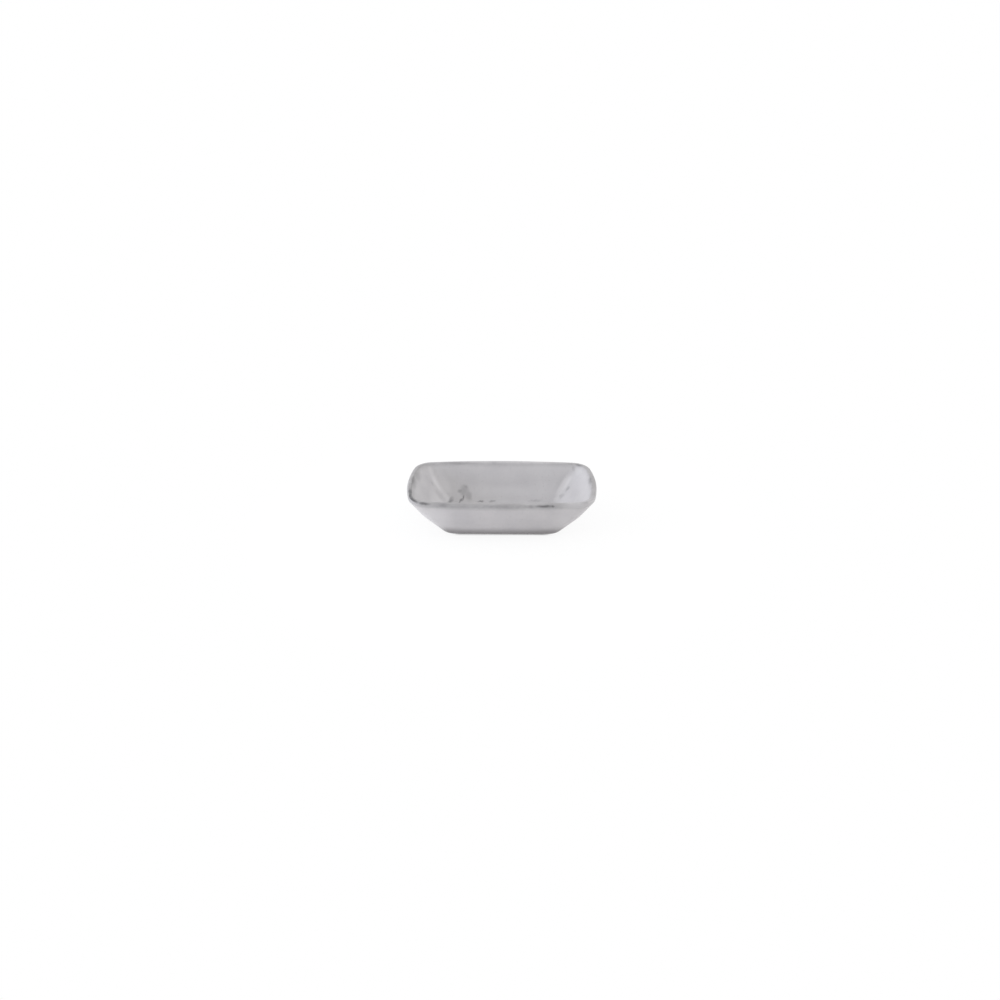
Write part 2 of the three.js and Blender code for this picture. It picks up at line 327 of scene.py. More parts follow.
# The stations between which the thin glaze inside the lip thickens again
THIN_INSIDE_START = EDGES["lip_inside"].first + 2.0
THIN_INSIDE_END = BAND_END + 3.0

# The dark line along the lip: its stations at the front and the rear, where it crosses from one to the other,
# and how far it wanders, reaches and stays darkest, in stations
FRONT_LINE_STATION = EDGES["lip_outside"].first + 0.2 * EDGES["lip_outside"].arc_steps
REAR_LINE_STATION = EDGES["lip_inside"].first + 0.7 * EDGES["lip_inside"].arc_steps
LINE_CROSSING_START = -46 * MM
LINE_CROSSING_END = 4 * MM
LINE_CROSSING_BEND = 0.5
LINE_WANDER = 4.0
LINE_GRAIN = 6 * MM
LINE_REACH = 5.0
LINE_CORE = 1.0

# The stations over which glaze has pooled at the foot of the walls, and how strongly. Its paler tone is also
# painted light that lifts the shade low on the walls, and only part of it is kept on the floor, which is
# better lit
POOL_AND_PAINTED_LIGHT_START = EDGES["belly_inside"].first
POOL_AND_PAINTED_LIGHT_FULL = EDGES["floor"].first - 2.0
POOL_AND_PAINTED_LIGHT_END = EDGES["floor"].first + 0.5 * EDGES["floor"].arc_steps
POOL_AND_PAINTED_LIGHT_SHARE = 0.38
POOL_AND_PAINTED_LIGHT_KEPT_ON_FLOOR = 0.3


def new_group(name, inputs, outputs):
    """An empty geometry node group with named sockets, and the sockets seen from inside it."""
    tree = bpy.data.node_groups.new(name, "GeometryNodeTree")
    for direction, sockets in (("INPUT", inputs), ("OUTPUT", outputs)):
        for socket, kind in sockets.items():
            tree.interface.new_socket(socket, in_out=direction, socket_type="NodeSocket" + kind)
    given = tree.nodes.new("NodeGroupInput").outputs
    result = tree.nodes.new("NodeGroupOutput").inputs
    return tree, given, result


def outline_group():
    """Node group: the point at a share of a bowed rectangle's first quarter, from its end to its side."""
    inputs = {"Share": "Float", "End Turn": "Float", "Side Turn": "Float"}
    for arc in ("End", "Corner", "Side"):
        inputs[f"{arc} Centre"] = "Vector"
        inputs[f"{arc} Radius"] = "Float"
    tree, given, result = new_group("Bowed Outline", inputs, {"Point": "Vector"})
    corner_turn = add_node(tree, "ShaderNodeMath", {0: given["Side Turn"], 1: given["End Turn"]},
                           operation="SUBTRACT")
    rest_turn = add_node(tree, "ShaderNodeMath", {0: pi / 2, 1: given["Side Turn"]}, operation="SUBTRACT")
    corner_stop = END_SHARE + CORNER_SHARE
    spans = {"End": (0.0, END_SHARE, given["End Turn"]), "Corner": (END_SHARE, corner_stop, corner_turn),
             "Side": (corner_stop, 1.0, rest_turn)}
    facing = 0.0
    for start, stop, turn in spans.values():
        part = add_node(tree, "ShaderNodeMapRange",
                        {"Value": given["Share"], "From Min": start, "From Max": stop, "To Max": turn})
        facing = add_node(tree, "ShaderNodeMath", {0: facing, 1: part}, operation="ADD")
    cosine = add_node(tree, "ShaderNodeMath", {0: facing}, operation="COSINE")
    sine = add_node(tree, "ShaderNodeMath", {0: facing}, operation="SINE")
    direction = add_node(tree, "ShaderNodeCombineXYZ", {"X": cosine, "Y": sine})
    chosen = given["End Centre"]
    for arc, (start, _, _) in spans.items():
        reach = add_node(tree, "ShaderNodeVectorMath", {0: direction, "Scale": given[f"{arc} Radius"]},
                         operation="SCALE")
        point = add_node(tree, "ShaderNodeVectorMath", {0: given[f"{arc} Centre"], 1: reach}, operation="ADD")
        reached = add_node(tree, "FunctionNodeCompare", {0: given["Share"], 1: start},
                           operation="GREATER_EQUAL")
        chosen = add_node(tree, "GeometryNodeSwitch", {"Switch": reached, "False": chosen, "True": point},
                          input_type="VECTOR")
    tree.links.new(chosen.outputs[0], result["Point"])
    return tree


def rounding_group():
    """Node group: a point on the arc that rounds an edge between two straight stretches of the section."""
    tree, given, result = new_group(
        "Rounded Edge",
        {"Before": "Vector", "Edge": "Vector", "After": "Vector", "Radius": "Float", "Along": "Float"},
        {"Point": "Vector", "Set Back": "Float"})
    edge = given["Edge"]
    back, ahead = [
        add_node(tree, "ShaderNodeVectorMath",
                 {0: add_node(tree, "ShaderNodeVectorMath", {0: given[side], 1: edge}, operation="SUBTRACT")},
                 operation="NORMALIZE")
        for side in ("Before", "After")]
    cosine = add_node(tree, "ShaderNodeVectorMath", {0: back, 1: ahead}, operation="DOT_PRODUCT")
    angle = add_node(tree, "ShaderNodeMath", {0: cosine}, operation="ARCCOSINE")
    half = add_node(tree, "ShaderNodeMath", {0: angle, 1: 0.5}, operation="MULTIPLY")
    slope = add_node(tree, "ShaderNodeMath", {0: half}, operation="TANGENT")
    set_back = add_node(tree, "ShaderNodeMath", {0: given["Radius"], 1: slope}, operation="DIVIDE")
    start = add_node(tree, "ShaderNodeVectorMath",
                     {0: edge, 1: add_node(tree, "ShaderNodeVectorMath", {0: back, "Scale": set_back},
                                           operation="SCALE")}, operation="ADD")
    middle = add_node(tree, "ShaderNodeVectorMath",
                      {0: add_node(tree, "ShaderNodeVectorMath", {0: back, 1: ahead}, operation="ADD")},
                      operation="NORMALIZE")
    sine = add_node(tree, "ShaderNodeMath", {0: half}, operation="SINE")
    depth = add_node(tree, "ShaderNodeMath", {0: given["Radius"], 1: sine}, operation="DIVIDE")
    inward = add_node(tree, "ShaderNodeVectorMath", {0: middle, "Scale": depth}, operation="SCALE")
    centre = add_node(tree, "ShaderNodeVectorMath", {0: edge, 1: inward}, operation="ADD")
    axis = add_node(tree, "ShaderNodeVectorMath", {0: ahead, 1: back}, operation="CROSS_PRODUCT")
    sweep = add_node(tree, "ShaderNodeMath", {0: pi, 1: angle}, operation="SUBTRACT")
    turned = add_node(tree, "ShaderNodeMath", {0: sweep, 1: given["Along"]}, operation="MULTIPLY")
    point = add_node(tree, "ShaderNodeVectorRotate",
                     {"Vector": start, "Center": centre, "Axis": axis, "Angle": turned},
                     rotation_type="AXIS_ANGLE")
    tree.links.new(point.outputs[0], result["Point"])
    tree.links.new(set_back.outputs[0], result["Set Back"])
    return tree


def quarter_and_mirror(tree, turn):
    """The share of its quarter that a turn round the dish has reached, and the signs that mirror it."""
    quarters = add_node(tree, "ShaderNodeMath", {0: turn, 1: 4.0}, operation="MULTIPLY")
    share = add_node(tree, "ShaderNodeMath", {0: quarters, 1: 1.0}, operation="PINGPONG")
    angle = add_node(tree, "ShaderNodeMath", {0: turn, 1: 2 * pi}, operation="MULTIPLY")
    signs = [
        add_node(tree, "ShaderNodeMath", {0: add_node(tree, "ShaderNodeMath", {0: angle}, operation=wave)},
                 operation="SIGN")
        for wave in ("COSINE", "SINE")]
    mirror = add_node(tree, "ShaderNodeCombineXYZ", {"X": signs[0], "Y": signs[1], "Z": 1.0})
    return share, mirror


def section_point(tree, share, station):
    """The point of the finished surface at a station of the section, in the first quarter."""
    outline = outline_group()
    rounding = rounding_group()
    edges = list(EDGES.values())
    corners = []
    for edge in edges:
        plan = add_node(tree, "GeometryNodeGroup", {"Share": share, **edge.outline.arcs()}, node_tree=outline)
        raised = add_node(tree, "ShaderNodeVectorMath", {0: plan, 1: (0, 0, edge.level)}, operation="ADD")
        corners.append(raised)
    # The middle of the floor and of the underside is a line, so that the faces there stay even
    ends = []
    for edge, corner in ((edges[0], corners[0]), (edges[-1], corners[-1])):
        reach = 1 - edge.outline.width / edge.outline.length
        end = add_node(tree, "ShaderNodeVectorMath", {0: corner, 1: (reach, 0, 1)}, operation="MULTIPLY")
        ends.append(end)
    path = [ends[0], *corners, ends[1]]
    bends = []
    for i, edge in enumerate(edges):
        local = add_node(tree, "ShaderNodeMath", {0: station, 1: float(edge.first)}, operation="SUBTRACT")
        along = add_node(tree, "ShaderNodeMath", {0: local, 1: float(edge.arc_steps)}, operation="DIVIDE",
                         use_clamp=True)
        bends.append(add_node(tree, "GeometryNodeGroup",
                              {"Before": path[i], "Edge": path[i + 1], "After": path[i + 2],
                               "Radius": edge.radius, "Along": along}, node_tree=rounding))
    # The first stretch runs out from the middle of the underside, and each later one on from a rounded edge
    point = None
    for i in range(-1, len(edges)):
        first = edges[i].first + edges[i].arc_steps if i >= 0 else 0
        steps = edges[i].run_steps if i >= 0 else UNDERSIDE_STEPS
        ran = add_node(tree, "ShaderNodeMath", {0: station, 1: float(first)}, operation="SUBTRACT")
        part = add_node(tree, "ShaderNodeMath", {0: ran, 1: float(steps)}, operation="DIVIDE", use_clamp=True)
        span = add_node(tree, "ShaderNodeVectorMath", {0: path[i + 2], 1: path[i + 1]}, operation="SUBTRACT")
        free = add_node(tree, "ShaderNodeVectorMath", {0: span}, operation="LENGTH")
        for neighbour in (bends[i:i + 1] if i >= 0 else []) + bends[i + 1:i + 2]:
            free = add_node(tree, "ShaderNodeMath", {0: free, 1: neighbour.outputs["Set Back"]},
                            operation="SUBTRACT")
        distance = add_node(tree, "ShaderNodeMath", {0: free, 1: part}, operation="MULTIPLY")
        ahead = add_node(tree, "ShaderNodeVectorMath", {0: span}, operation="NORMALIZE")
        run = add_node(tree, "ShaderNodeVectorMath", {0: ahead, "Scale": distance}, operation="SCALE")
        start = bends[i].outputs["Point"] if i >= 0 else path[0].outputs[0]
        here = add_node(tree, "ShaderNodeVectorMath", {0: start, 1: run}, operation="ADD")
        if point is None:
            point = here
        else:
            reached = add_node(tree, "FunctionNodeCompare", {0: station, 1: float(edges[i].first)},
                               operation="GREATER_EQUAL")
            point = add_node(tree, "GeometryNodeSwitch", {"Switch": reached, "False": point, "True": here},
                             input_type="VECTOR")
    return point


def dish_tree():
    """Geometry nodes that loft the surface through the edges, wave it and keep a range of stations."""
    tree, given, result = new_group(
        "Lofted Dish",
        {"Geometry": "Geometry", "Points Around": "Int", "First Station": "Float", "Last Station": "Float",
         "Wave Length": "Float", "Wave Height": "Float", "Clay Depth": "Float", "Bare From": "Float",
         "Bare To": "Float", "Material": "Material"},
        {"Geometry": "Geometry"})
    rows = LAST_STATION + 1
    columns = add_node(tree, "ShaderNodeMath", {0: given["Points Around"], 1: 1.0}, operation="ADD")
    grid = add_node(tree, "GeometryNodeMeshGrid", {"Vertices X": columns, "Vertices Y": rows})
    index = add_node(tree, "GeometryNodeInputIndex")
    station = add_node(tree, "ShaderNodeMath", {0: index, 1: float(rows)}, operation="MODULO")
    column = add_node(tree, "ShaderNodeMath",
                      {0: add_node(tree, "ShaderNodeMath", {0: index, 1: float(rows)}, operation="DIVIDE")},
                      operation="FLOOR")
    turn = add_node(tree, "ShaderNodeMath", {0: column, 1: given["Points Around"]}, operation="DIVIDE")
    share, mirror = quarter_and_mirror(tree, turn)
    quarter_point = section_point(tree, share, station)
    point = add_node(tree, "ShaderNodeVectorMath", {0: quarter_point, 1: mirror}, operation="MULTIPLY")
    numbered = add_node(tree, "GeometryNodeStoreNamedAttribute",
                        {"Geometry": grid, "Name": "station", "Value": station},
                        domain="POINT", data_type="FLOAT")
    lofted = add_node(tree, "GeometryNodeSetPosition", {"Geometry": numbered, "Position": point})
    closed = add_node(tree, "GeometryNodeMergeByDistance", {"Geometry": lofted, "Distance": MERGE_DISTANCE})

    # Waves in the glaze, which fade out towards the foot so that the dish stands flat
    place = add_node(tree, "GeometryNodeInputPosition")
    normal = add_node(tree, "GeometryNodeInputNormal")
    pitch = add_node(tree, "ShaderNodeMath", {0: 1.0, 1: given["Wave Length"]}, operation="DIVIDE")
    waves = add_node(tree, "ShaderNodeTexNoise", {"Vector": place, "Scale": pitch, "Detail": WAVE_DETAIL})
    swell = add_node(tree, "ShaderNodeMath", {0: waves.outputs[0], 1: NOISE_MIDDLE}, operation="SUBTRACT")
    level = add_node(tree, "ShaderNodeSeparateXYZ", {0: place})
    fade = add_node(tree, "ShaderNodeMapRange",
                    {"Value": level.outputs["Z"], "From Min": FOOT_HEIGHT,
                     "From Max": FOOT_HEIGHT + BASE_EDGE_RADIUS})
    tall = add_node(tree, "ShaderNodeMath", {0: swell, 1: given["Wave Height"]}, operation="MULTIPLY")
    lift = add_node(tree, "ShaderNodeMath", {0: tall, 1: fade}, operation="MULTIPLY")

    # The clay lies a glaze's depth lower, except where it is bare
    number = add_node(tree, "GeometryNodeInputNamedAttribute", {"Name": "station"}, data_type="FLOAT")
    below = add_node(tree, "ShaderNodeMath", {0: number, 1: given["Bare From"]}, operation="LESS_THAN")
    above = add_node(tree, "ShaderNodeMath", {0: number, 1: given["Bare To"]}, operation="GREATER_THAN")
    coated = add_node(tree, "ShaderNodeMath", {0: below, 1: above}, operation="ADD")
    sunk = add_node(tree, "ShaderNodeMath", {0: coated, 1: given["Clay Depth"]}, operation="MULTIPLY")
    shift = add_node(tree, "ShaderNodeMath", {0: lift, 1: sunk}, operation="SUBTRACT")
    offset = add_node(tree, "ShaderNodeVectorMath", {0: normal, "Scale": shift}, operation="SCALE")
    waved = add_node(tree, "GeometryNodeSetPosition", {"Geometry": closed, "Offset": offset})

    # Only the faces of one piece stay
    early = add_node(tree, "ShaderNodeMath", {0: number, 1: given["First Station"]}, operation="LESS_THAN")
    late = add_node(tree, "ShaderNodeMath", {0: number, 1: given["Last Station"]}, operation="GREATER_THAN")
    outside = add_node(tree, "ShaderNodeMath", {0: early, 1: late}, operation="ADD")
    piece = add_node(tree, "GeometryNodeDeleteGeometry", {"Geometry": waved, "Selection": outside},
                     domain="POINT")
    smooth = add_node(tree, "GeometryNodeSetShadeSmooth", {"Geometry": piece})
    realized = add_node(tree, "GeometryNodeRealizeInstances", {"Geometry": smooth})
    painted = add_node(tree, "GeometryNodeSetMaterial", {"Geometry": realized, "Material": given["Material"]})
    tree.links.new(painted.outputs[0], result["Geometry"])
    return tree


def make_piece(name, node, tree, material, first, last, clay=False):
    """One piece of the dish between two stations of its section: the clay body, or a coat of glaze."""
    shaper = bpy.data.objects.new(name + "_shaper", bpy.data.meshes.new(name + "_shaper"))
    bpy.context.scene.collection.objects.link(shaper)
    loft = shaper.modifiers.new("loft", "NODES")
    loft.node_group = tree
    sizes = {
        "Points Around": POINTS_AROUND,
        "First Station": first - STATION_ROOM,
        "Last Station": last + STATION_ROOM,
        "Wave Length": WAVE_LENGTH,
        "Wave Height": WAVE_HEIGHT,
        "Clay Depth": GLAZE_THICKNESS if clay else 0.0,
        "Bare From": UNDERSIDE_END - STATION_ROOM,
        "Bare To": OUTSIDE_START + STATION_ROOM,
        "Material": material,
    }
    for item in tree.interface.items_tree:
        if item.in_out == "INPUT" and item.name in sizes:
            loft[item.identifier] = sizes[item.name]
    # A coat is thickened inwards, down to the clay
    if not clay:
        thickness = shaper.modifiers.new("thickness", "SOLIDIFY")
        thickness.thickness = GLAZE_THICKNESS
        thickness.offset = -1.0
    graph = bpy.context.evaluated_depsgraph_get()
    mesh = bpy.data.meshes.new_from_object(shaper.evaluated_get(graph), depsgraph=graph)
    bpy.data.objects.remove(shaper)
    mesh.name = name
    mesh.set_sharp_from_angle(angle=SHARP_ANGLE)
    piece = bpy.data.objects.new(name, mesh)
    bpy.context.scene.collection.objects.link(piece)
    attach(piece, "root")
    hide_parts(node)


# Materials

@dataclass
class Mark:
    """A dark mark, a pale pool, or a patch of painted light or shade in the glaze, in mm. The last of its
    half sizes is along the way it runs.
    """

    middle: tuple
    half_sizes: tuple
    runs: tuple
    strength: float


# Smoke caught in the inside glaze, mostly low on the rear wall where the glaze has run together, and one
# faint painted shade beside the right rear corner
SMOKE_AND_SHADE_MARKS = (
    Mark((-36, 31, 16), (6, 6, 8), (0.1, 0.45, 0.9), 0.42),
    Mark((-35, 33, 19.5), (2.2, 4, 3), (1, 0, 1), 0.5),
    Mark((-39.2, 31, 16.3), (3.6, 4, 3.4), (0, 0, 1), 0.5),
    Mark((-32, 29.5, 12.5), (4.5, 6, 9), (-0.3, 0.45, 0.9), 0.36),
    Mark((-38, 27, 9.5), (1.6, 4, 8), (5.5, 5.9, 7.7), 0.85),
    Mark((-48.5, 24.5, 9.3), (2.8, 5, 6.5), (0.5, 0.7, 1), 0.8),
    Mark((-20.3, 26.3, 7.8), (1.7, 3, 5), (1, 0, 0), 0.75),
    Mark((-9.3, 26.4, 7.8), (1.7, 3, 4.6), (1, 0, 0), 0.6),
    Mark((31, 27, 8.8), (1.6, 3, 9), (1, 0, 0), 0.35),
    Mark((67, 39, 36), (2.4, 5, 2.6), (0, 0, 1), 0.35),
    Mark((61.5, 28.5, 19.5), (2.6, 4, 5), (4.6, 1.8, 5.4), 0.4),
    Mark((56.5, 26, 13), (3.4, 6, 5), (0.6, 0.3, 0.7), 0.3),
    # Painted shade: a faint darker band beside the lit edge of the right wall
    Mark((56.3, 36.5, 24.5), (3.2, 6, 14), (23, 15, 30), 0.1),
    Mark((-67, 30, 23.5), (3, 3, 7), (-13, 10, 20), 0.22),
    Mark((-58.5, 23.5, 13.5), (8, 8, 11), (-13, 10, 20), 0.24),
    Mark((-79.5, 2, 38), (4, 5, 20), (0, 1, 0), 0.4),
    Mark((-78, 17, 36.5), (6, 6, 13), (0, 1, 0), 0.35),
    Mark((79.5, 3, 38.5), (3, 3, 11), (0, 1, 0), 0.35),
    Mark((27, -29, 13), (5, 6, 7), (0.1, -0.45, 0.9), 0.4),
    Mark((24, -26, 8.5), (1.6, 3, 5), (1, 0, 0), 0.6),
)
# Lengths of the lip where the dark ragged line shows
LIP_MARKS = (
    Mark((37.5, -47.6, 39), (3, 4, 11), (1, 0, 0), 0.9),
    Mark((44, -47.4, 39), (2.2, 3, 3), (1, 0, 0), 1.0),
    Mark((-67, -45, 39.5), (5, 5, 8), (6, -2, 0), 0.8),
    Mark((-77, -37, 39.5), (7, 6, 11), (5, -6, 0), 1.0),
    Mark((-80.5, -29.5, 39.5), (6, 6, 8), (2, -7, 0), 1.0),
    Mark((-82, -22, 39.5), (6, 6, 12), (-1, 8, 0), 0.9),
    Mark((-82.5, 4, 40), (5, 5, 20), (0, 1, 0), 0.75),
    Mark((-42, 43, 40), (4, 4, 26), (1, 0, 0), 0.2),
    Mark((72.5, 39.5, 40), (4, 5, 6), (3.6, -2.2, 0), 0.9),
    Mark((64.5, 42.8, 40), (3, 4, 4), (1, 0, 0), 0.5),
    Mark((82.3, 5, 39.5), (5, 4, 10), (0, 1, 0), 0.5),
)
# Painted highlights along the two rear corner valleys inside, painted light beside them and along the lit
# edge of the right wall, and a faintly paler patch on the wall between
INSIDE_POOLS_AND_HIGHLIGHTS = (
    Mark((-63.2, 34.5, 24), (4.2, 6, 18), (-13, 10, 20), 0.7),
    Mark((-67.4, 38.4, 31.7), (4.6, 6, 11), (-13, 10, 20), 0.55),
    Mark((-55, 33, 22), (7.5, 9, 22), (-14, 8, 18), 0.6),
    Mark((58, 33, 20.5), (4.4, 7, 20), (26, 15, 30), 0.75),
    Mark((57, 33.5, 20.5), (2.8, 7, 20), (23, 15, 30), 0.8),
    Mark((-4, 38, 28), (14, 14, 40), (1, 0, 0), 0.14),
)
# Painted light: a paler tone round the two front corners outside, stronger at the left, where the left soft
# box falls
OUTSIDE_PAINTED_LIGHT = (
    Mark((-58, -42, 19), (21, 21, 32), (0, 0, 1), 0.26),
    Mark((60, -42, 19), (21, 21, 32), (0, 0, 1), 0.16),
)
# Lengths of the lip where the glaze has stayed thick
LIP_POOLS = (
    Mark((70, -42, 39), (14, 10, 26), (1, 0.5, 0), 0.65),
    Mark((10, 46, 39), (10, 10, 75), (1, 0, 0), 0.7),
)


def new_material(name):
    """A new material, its node tree, its shader, and the place on the piece that its patterns follow."""
    material = bpy.data.materials.new(name)
    material.use_nodes = True
    tree = material.node_tree
    place = add_node(tree, "ShaderNodeTexCoord").outputs["Object"]
    return material, tree, tree.nodes["Principled BSDF"], place


def ragged(tree, place, size, reach):
    """A place pushed about by noise of a given size and reach, so that what is drawn there is ragged."""
    noise = add_node(tree, "ShaderNodeTexNoise",
                     {"Vector": place, "Scale": 1 / size, "Detail": RAGGED_DETAIL})
    push = add_node(tree, "ShaderNodeVectorMath", {0: noise.outputs["Color"], 1: (NOISE_MIDDLE,) * 3},
                    operation="SUBTRACT")
    return add_node(tree, "ShaderNodeVectorMath", {0: push, 1: (2 * reach,) * 3, 2: place},
                    operation="MULTIPLY_ADD")


def marks_share(tree, place, marks):
    """How strongly a set of marks or pools covers a place, from 0 to 1."""
    total = 0.0
    for mark in marks:
        turn = Vector(mark.runs).to_track_quat("Z", "Y").to_euler()
        local = add_node(tree, "ShaderNodeMapping",
                         {"Vector": place, "Location": Vector(mark.middle) * MM, "Rotation": turn,
                          "Scale": Vector(mark.half_sizes) * MM}, vector_type="TEXTURE")
        far = add_node(tree, "ShaderNodeVectorMath", {0: local}, operation="LENGTH")
        share = add_node(tree, "ShaderNodeMapRange",
                         {"Value": far, "From Min": 1.0, "From Max": MARK_CORE, "To Max": mark.strength},
                         interpolation_type="SMOOTHSTEP")
        total = add_node(tree, "ShaderNodeMath", {0: total, 1: share}, operation="MAXIMUM")
    return total


def toned(tree, share, colour, tone):
    """A colour taken a share of the way to a second, which is a tone in hex or another node's output."""
    tone = linear(tone) if isinstance(tone, str) else tone
    mix = add_node(tree, "ShaderNodeMix", {"Factor": share, "A": colour, "B": tone}, data_type="RGBA")
    return mix.outputs[2]


def mottled(tree, place, tones):
    """A colour that drifts between a pale and a deep tone in soft clouds, with a finer grain on top."""
    pale, deep = tones
    clouds = add_node(tree, "ShaderNodeTexNoise",
                      {"Vector": place, "Scale": 1 / CLOUD_SIZE, "Detail": CLOUD_DETAIL,
                       "Roughness": CLOUD_ROUGHNESS})
    drift = add_node(tree, "ShaderNodeMapRange",
                     {"Value": clouds, "From Min": CLOUD_LOW, "From Max": CLOUD_HIGH})
    grain = add_node(tree, "ShaderNodeTexNoise",
                     {"Vector": place, "Scale": 1 / GRAIN_SIZE, "Detail": FINE_DETAIL})
    fine = add_node(tree, "ShaderNodeMath", {0: grain, 1: NOISE_MIDDLE}, operation="SUBTRACT")
    share = add_node(tree, "ShaderNodeMath", {0: fine, 1: GRAIN_SHARE, 2: drift}, operation="MULTIPLY_ADD",
                     use_clamp=True)
    return toned(tree, share, linear(pale), deep)


def specked(tree, place, colour):
    """A colour with the dark specks that iron in the clay leaves in a glaze, each of its own strength."""
    cells = add_node(tree, "ShaderNodeTexVoronoi", {"Vector": place, "Scale": 1 / SPECK_SPACING})
    near = add_node(tree, "ShaderNodeMapRange",
                    {"Value": cells, "From Min": SPECK_RADIUS / SPECK_SPACING, "From Max": 0.0,
                     "To Max": SPECK_SHARE})
    chance = add_node(tree, "ShaderNodeSeparateColor", {0: cells.outputs["Color"]})
    strength = add_node(tree, "ShaderNodeMath", {0: near, 1: chance}, operation="MULTIPLY")
    return toned(tree, strength, colour, SPECK_TONE)


def fired_surface(tree, shader, place, roughness):
    """Gives a glaze its uneven gloss and the faint orange peel of a fired surface."""
    peel = add_node(tree, "ShaderNodeTexNoise",
                    {"Vector": place, "Scale": 1 / PEEL_SIZE, "Detail": FINE_DETAIL})
    uneven = add_node(tree, "ShaderNodeMapRange",
                      {"Value": peel, "To Min": roughness - ROUGHNESS_SPREAD,
                       "To Max": roughness + ROUGHNESS_SPREAD})
    relief = add_node(tree, "ShaderNodeBump",
                      {"Strength": PEEL_STRENGTH, "Distance": PEEL_DEPTH, "Height": peel})
    tree.links.new(uneven.outputs[0], shader.inputs["Roughness"])
    tree.links.new(relief.outputs[0], shader.inputs["Normal"])
    shader.inputs["IOR"].default_value = GLAZE_IOR


def thick_below_lip(tree, place):
    """How far the glaze has thickened again down the outside of the lip, from 0 at the crest to 1."""
    level = add_node(tree, "ShaderNodeSeparateXYZ", {0: ragged(tree, place, FADE_GRAIN, FADE_RAGGED)})
    return add_node(tree, "ShaderNodeMapRange",
                    {"Value": level.outputs["Z"], "From Min": HEIGHT - LIP_FADE_START,
                     "From Max": HEIGHT - LIP_FADE_END}, interpolation_type="SMOOTHSTEP")


def thick_inside_lip(tree, station):
    """How far the glaze has thickened again down the inside of the lip, from 0 at the crest to 1."""
    return add_node(tree, "ShaderNodeMapRange",
                    {"Value": station, "From Min": THIN_INSIDE_START, "From Max": THIN_INSIDE_END},
                    interpolation_type="SMOOTHSTEP")


def inside_glaze():
    """Reactive glaze, dipped: pale grey in soft clouds, smoked here and there, paler where it has pooled,
    with painted light low on the walls, painted highlights and light in the rear corners, and a faint painted
    shade in the right rear corner.
    """
    material, tree, shader, place = new_material("reactive glaze, dipped")
    station = add_node(tree, "ShaderNodeAttribute", attribute_name="station").outputs["Fac"]
    thick = add_node(tree, "ShaderNodeMath",
                     {0: thick_inside_lip(tree, station), 1: marks_share(tree, place, LIP_POOLS)},
                     operation="MAXIMUM")
    colour = toned(tree, thick, mottled(tree, place, THIN_TONES), mottled(tree, place, PALE_TONES))
    # Paler towards the foot of the walls, as pooled glaze and painted light; the marks add painted highlights
    # and painted light in the rear corners
    gathered = add_node(tree, "ShaderNodeMapRange",
                        {"Value": station, "From Min": POOL_AND_PAINTED_LIGHT_START, "From Max": POOL_AND_PAINTED_LIGHT_FULL,
                         "To Max": POOL_AND_PAINTED_LIGHT_SHARE}, interpolation_type="SMOOTHSTEP")
    kept = add_node(tree, "ShaderNodeMapRange",
                    {"Value": station, "From Min": POOL_AND_PAINTED_LIGHT_FULL, "From Max": POOL_AND_PAINTED_LIGHT_END, "To Min": 1.0,
                     "To Max": POOL_AND_PAINTED_LIGHT_KEPT_ON_FLOOR}, interpolation_type="SMOOTHSTEP")
    pool = add_node(tree, "ShaderNodeMath", {0: gathered, 1: kept}, operation="MULTIPLY")
    pooled = add_node(tree, "ShaderNodeMath", {0: pool, 1: marks_share(tree, place, INSIDE_POOLS_AND_HIGHLIGHTS)},
                      operation="MAXIMUM")
    colour = toned(tree, pooled, colour, POOL_AND_PAINTED_LIGHT_TONE)
    colour = specked(tree, place, colour)
    # Smoke marks, and one faint painted shade in the right rear corner
    smoke = marks_share(tree, ragged(tree, place, SMOKE_GRAIN, SMOKE_RAGGED), SMOKE_AND_SHADE_MARKS)
    tree.links.new(toned(tree, smoke, colour, SMOKE_AND_SHADE_TONE), shader.inputs["Base Color"])
    fired_surface(tree, shader, place, INSIDE_ROUGHNESS)
    return material


